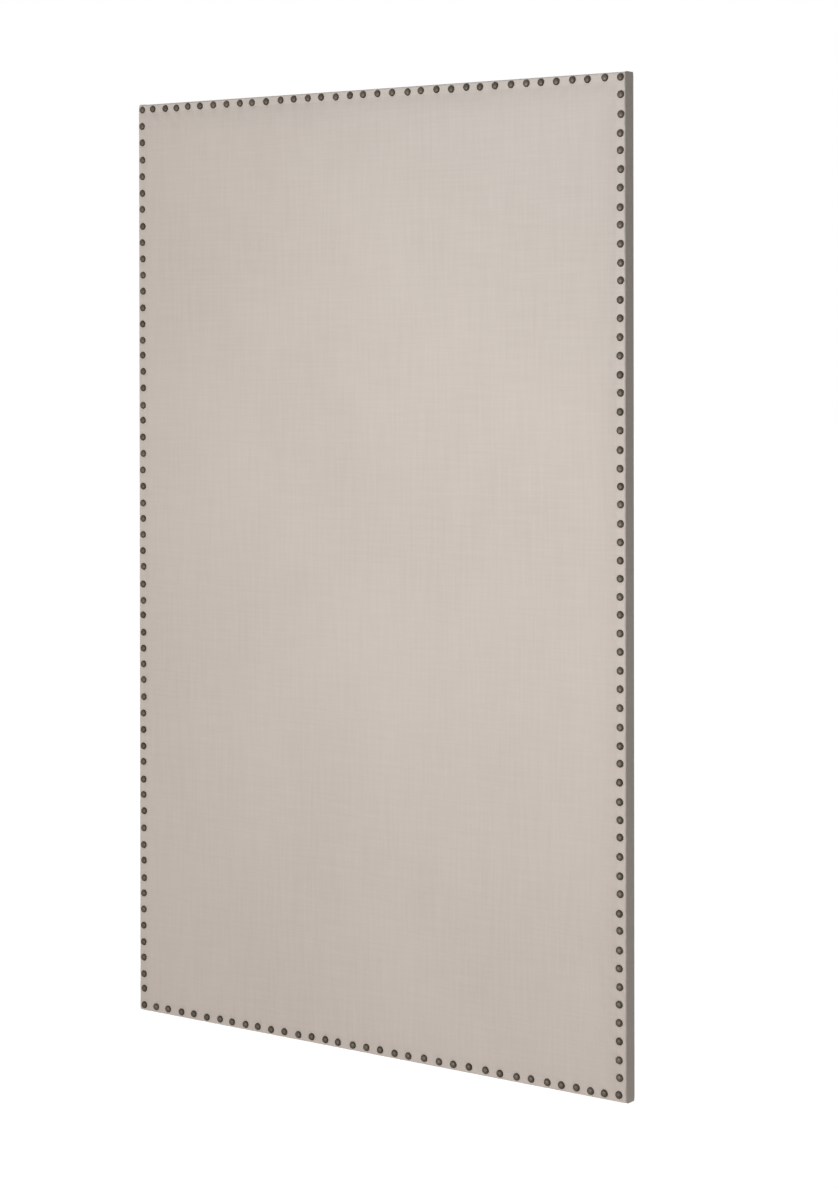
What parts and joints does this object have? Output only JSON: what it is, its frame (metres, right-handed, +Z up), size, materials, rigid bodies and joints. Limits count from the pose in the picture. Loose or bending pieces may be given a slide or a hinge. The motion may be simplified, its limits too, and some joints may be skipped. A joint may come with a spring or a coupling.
{
  "type": "memo board",
  "caption": "Upholstered memo board: linen stretched over a padded cork panel in a pine frame, edged with domed nail heads, hung by strap hangers with D rings.",
  "frame": {"origin": "on the wall plane, which is the outer face of the four felt bumpers, midway between the pivots of the two D rings", "axes": "+Z up, +X to the right as seen from the front, +Y from the linen face towards the wall"},
  "size_m": [0.762, 0.0297, 1.2192],
  "materials": {
    "pine": "planed pine, bare",
    "antiqued_bronze": "antiqued bronze nail heads, dark with rubbed brighter crowns",
    "hardboard": "brown hardboard, smooth face forward",
    "cork": "pressed cork, fine granules",
    "batting": "white polyester batting",
    "linen": "natural greige linen, plain weave with fine slubs",
    "kraft_paper": "brown kraft paper, matt",
    "felt": "dense brown-grey wool felt",
    "zinc_plated_steel": "zinc-plated steel, satin"
  },
  "bodies": {
    "board": {"stile_left": "pine", "stile_right": "pine", "rail_top": "pine", "rail_bottom": "pine", "crossbar": "pine", "corner_block_lower_left": "pine", "corner_block_lower_right": "pine", "corner_block_upper_right": "pine", "corner_block_upper_left": "pine", "backer_board": "hardboard", "cork_panel": "cork", "padding": "batting", "linen_cover": "linen", "dust_cover": "kraft_paper", "bumper_lower_left": "felt", "bumper_lower_right": "felt", "bumper_upper_right": "felt", "bumper_upper_left": "felt", "hanger_strap_left": "zinc_plated_steel", "hanger_screw_left_upper": "zinc_plated_steel", "hanger_screw_left_lower": "zinc_plated_steel", "hanger_strap_right": "zinc_plated_steel", "hanger_screw_right_upper": "zinc_plated_steel", "hanger_screw_right_lower": "zinc_plated_steel"},
    "left_ring": {"hanger_ring_left": "zinc_plated_steel"},
    "right_ring": {"hanger_ring_right": "zinc_plated_steel"}
  },
  "joints": [
    {"name": "left_ring_swing", "type": "hinge", "parent": "board", "child": "left_ring", "pos_m": [-0.3589, -0.00265, 0], "axis": [1, 0, 0], "range_deg": [0, 176]},
    {"name": "right_ring_swing", "type": "hinge", "parent": "board", "child": "right_ring", "pos_m": [0.3589, -0.00265, 0], "axis": [1, 0, 0], "range_deg": [0, 176]}
  ]
}
